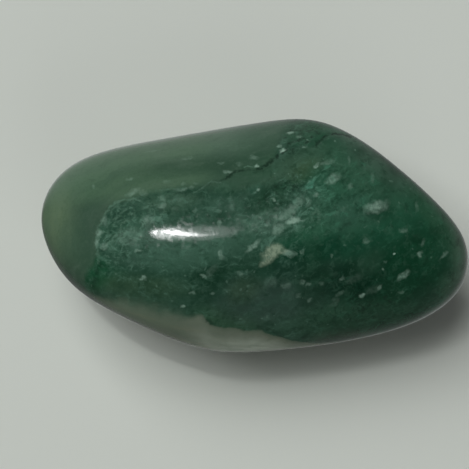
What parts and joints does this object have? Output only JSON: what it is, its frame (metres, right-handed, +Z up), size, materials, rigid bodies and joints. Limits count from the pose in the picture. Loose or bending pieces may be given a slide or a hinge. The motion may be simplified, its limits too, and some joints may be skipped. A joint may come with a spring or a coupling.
{
  "type": "tumbled chalcedony stone",
  "caption": "Long polished pebble of mottled deep green stone with a paler grey-green end and rim. It has softly worn flats and lies on its broad underside.",
  "frame": {"origin": "bottom centre of the stone's bounding box, at the height of the surface that it rests on", "axes": "+X along the stone's length towards its narrower end, +Y across its width towards the long straight side, +Z up from the worn underside"},
  "size_m": [0.04, 0.0222, 0.0164],
  "materials": {
    "chalcedony": "tumbled and polished to a gloss"
  },
  "bodies": {
    "root": {"stone": "chalcedony"}
  },
  "joints": []
}
